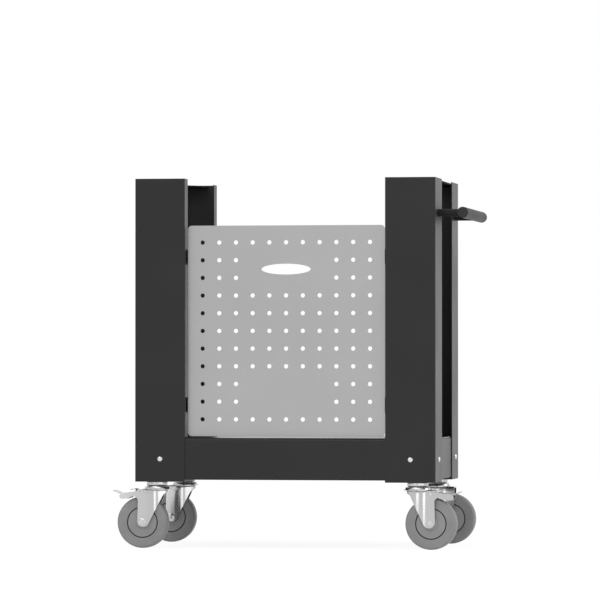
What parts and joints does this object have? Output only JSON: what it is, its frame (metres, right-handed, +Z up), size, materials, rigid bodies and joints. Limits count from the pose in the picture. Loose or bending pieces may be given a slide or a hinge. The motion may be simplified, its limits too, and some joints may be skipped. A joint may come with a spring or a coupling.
{
  "type": "outdoor pizza oven table",
  "caption": "Wheeled black steel stand for an outdoor pizza oven, with folded corner posts, a low shelf, a lift-out perforated tool panel, a side handle and swivel casters",
  "frame": {"origin": "centre of the bounding box at floor level", "axes": "+Z up, -Y is the front with the tool panel, +X is the side with the handle"},
  "size_m": [0.71, 0.3664, 0.732],
  "materials": {
    "frame_paint": "satin black powder coat",
    "shelf_paint": "smooth satin black",
    "handle_paint": "satin black",
    "panel_steel": "fine brushed stainless",
    "magnet_nickel": "nickel plated",
    "plug_plastic": "matte black",
    "tyre_rubber": "grey non-marking rubber",
    "hub_plastic": "moulded grey",
    "caster_zinc": "bright zinc plated",
    "axle_steel": "zinc plated",
    "fastener_steel": "stainless"
  },
  "bodies": {
    "frame": {"ball_rings": "axle_steel", "beam_front": "frame_paint", "beam_left": "frame_paint", "beam_rear": "frame_paint", "beam_right": "frame_paint", "bottom_shelf": "shelf_paint", "foot_plate_front_left": "frame_paint", "foot_plate_front_right": "frame_paint", "foot_plate_rear_left": "frame_paint", "foot_plate_rear_right": "frame_paint", "frame_nuts": "fastener_steel", "frame_screws": "fastener_steel", "handle_arm_front": "handle_paint", "handle_arm_rear": "handle_paint", "handle_end_plugs": "plug_plastic", "handle_grip": "handle_paint", "handle_screws": "fastener_steel", "king_bolts": "fastener_steel", "king_nuts": "fastener_steel", "oven_seat_left": "frame_paint", "oven_seat_right": "frame_paint", "panel_catches": "frame_paint", "panel_magnets": "magnet_nickel", "post_front_left": "frame_paint", "post_front_right": "frame_paint", "post_rear_left": "frame_paint", "post_rear_right": "frame_paint", "swivel_cap_front_left": "caster_zinc", "swivel_cap_front_right": "caster_zinc", "swivel_cap_rear_left": "caster_zinc", "swivel_cap_rear_right": "caster_zinc"},
    "panel": {"tool_panel": "panel_steel"},
    "fork_front_left": {"fork_front_left": "caster_zinc", "axle_front_left": "axle_steel", "axle_sleeve_front_left": "axle_steel", "brake_pin_front_left": "axle_steel"},
    "wheel_front_left": {"tyre_front_left": "tyre_rubber", "wheel_hub_front_left": "hub_plastic"},
    "brake_front_left": {"brake_lever_front_left": "caster_zinc"},
    "fork_front_right": {"fork_front_right": "caster_zinc", "axle_front_right": "axle_steel", "axle_sleeve_front_right": "axle_steel", "brake_pin_front_right": "axle_steel"},
    "wheel_front_right": {"tyre_front_right": "tyre_rubber", "wheel_hub_front_right": "hub_plastic"},
    "brake_front_right": {"brake_lever_front_right": "caster_zinc"},
    "fork_rear_left": {"fork_rear_left": "caster_zinc", "axle_rear_left": "axle_steel", "axle_sleeve_rear_left": "axle_steel"},
    "wheel_rear_left": {"tyre_rear_left": "tyre_rubber", "wheel_hub_rear_left": "hub_plastic"},
    "fork_rear_right": {"fork_rear_right": "caster_zinc", "axle_rear_right": "axle_steel", "axle_sleeve_rear_right": "axle_steel"},
    "wheel_rear_right": {"tyre_rear_right": "tyre_rubber", "wheel_hub_rear_right": "hub_plastic"}
  },
  "joints": [
    {"name": "panel_pull", "type": "slide", "parent": "frame", "child": "panel", "axis": [0, -1, 0], "range_m": [0, 0.08]},
    {"name": "swivel_front_left", "type": "hinge", "parent": "frame", "child": "fork_front_left", "pos_m": [-0.268, -0.15, 0.12], "axis": [0, 0, 1], "continuous": true},
    {"name": "roll_front_left", "type": "hinge", "parent": "fork_front_left", "child": "wheel_front_left", "pos_m": [-0.2955, -0.15, 0.051], "axis": [0, 1, 0], "continuous": true},
    {"name": "brake_front_left", "type": "hinge", "parent": "fork_front_left", "child": "brake_front_left", "pos_m": [-0.2955, -0.15, 0.109], "axis": [0, -1, 0], "range_deg": [0, 6.5]},
    {"name": "swivel_front_right", "type": "hinge", "parent": "frame", "child": "fork_front_right", "pos_m": [0.254, -0.15, 0.12], "axis": [0, 0, 1], "continuous": true},
    {"name": "roll_front_right", "type": "hinge", "parent": "fork_front_right", "child": "wheel_front_right", "pos_m": [0.2815, -0.15, 0.051], "axis": [0, 1, 0], "continuous": true},
    {"name": "brake_front_right", "type": "hinge", "parent": "fork_front_right", "child": "brake_front_right", "pos_m": [0.2815, -0.15, 0.109], "axis": [0, 1, 0], "range_deg": [0, 6.5]},
    {"name": "swivel_rear_left", "type": "hinge", "parent": "frame", "child": "fork_rear_left", "pos_m": [-0.268, 0.15, 0.12], "axis": [0, 0, 1], "continuous": true},
    {"name": "roll_rear_left", "type": "hinge", "parent": "fork_rear_left", "child": "wheel_rear_left", "pos_m": [-0.2955, 0.15, 0.051], "axis": [0, 1, 0], "continuous": true},
    {"name": "swivel_rear_right", "type": "hinge", "parent": "frame", "child": "fork_rear_right", "pos_m": [0.254, 0.15, 0.12], "axis": [0, 0, 1], "continuous": true},
    {"name": "roll_rear_right", "type": "hinge", "parent": "fork_rear_right", "child": "wheel_rear_right", "pos_m": [0.2815, 0.15, 0.051], "axis": [0, 1, 0], "continuous": true}
  ]
}
